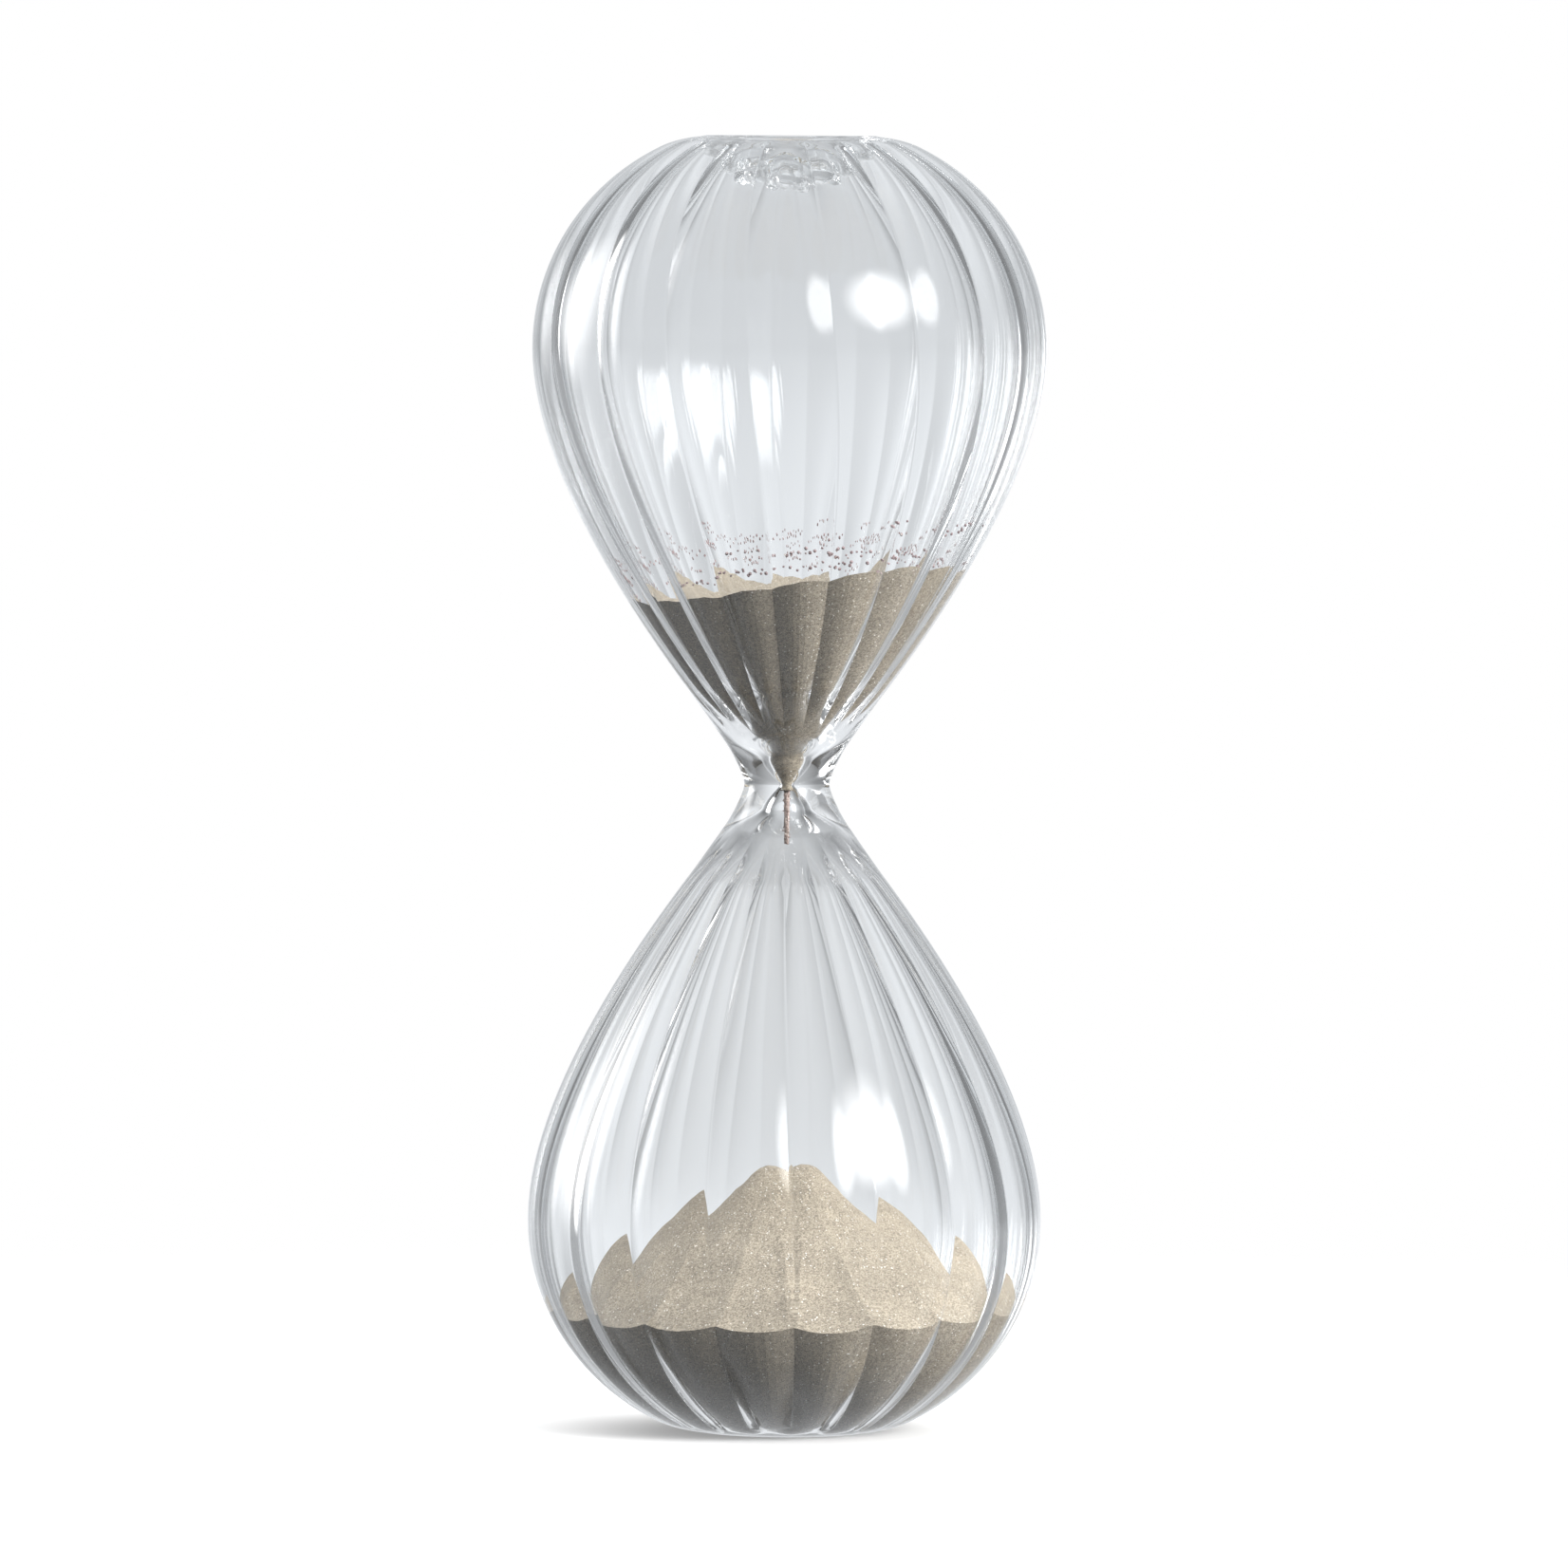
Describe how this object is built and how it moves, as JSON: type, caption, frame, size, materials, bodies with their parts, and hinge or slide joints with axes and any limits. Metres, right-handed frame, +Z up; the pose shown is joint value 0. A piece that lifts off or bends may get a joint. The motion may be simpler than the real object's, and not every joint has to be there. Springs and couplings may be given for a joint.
{
  "type": "hourglass",
  "caption": "Frameless hourglass of clear ribbed blown glass, two teardrop bulbs joined at a thick neck, with sand running through a pinhole.",
  "frame": {"origin": "centre of the flat standing ring of the lower bulb, on the surface that the glass stands on", "axes": "+Z up along the axis of the glass, from the lower bulb to the upper; +Y away from the viewer, +X to the viewer's right"},
  "size_m": [0.0992, 0.0992, 0.25],
  "materials": {
    "clear_glass": "clear blown glass, polished by the flame",
    "sand": "dry fine sand, matt with small bright facets"
  },
  "bodies": {
    "glass": {"upper_bulb": "clear_glass", "neck_orifice": "clear_glass", "lower_bulb": "clear_glass", "upper_end_seal": "clear_glass", "lower_end_seal": "clear_glass", "upper_sand": "sand", "lower_sand": "sand"},
    "stream": {"sand_stream": "sand"}
  },
  "joints": [
    {"name": "sand_fall", "type": "slide", "parent": "glass", "child": "stream", "axis": [0, 0, -1], "range_m": [0, 0.062]}
  ]
}
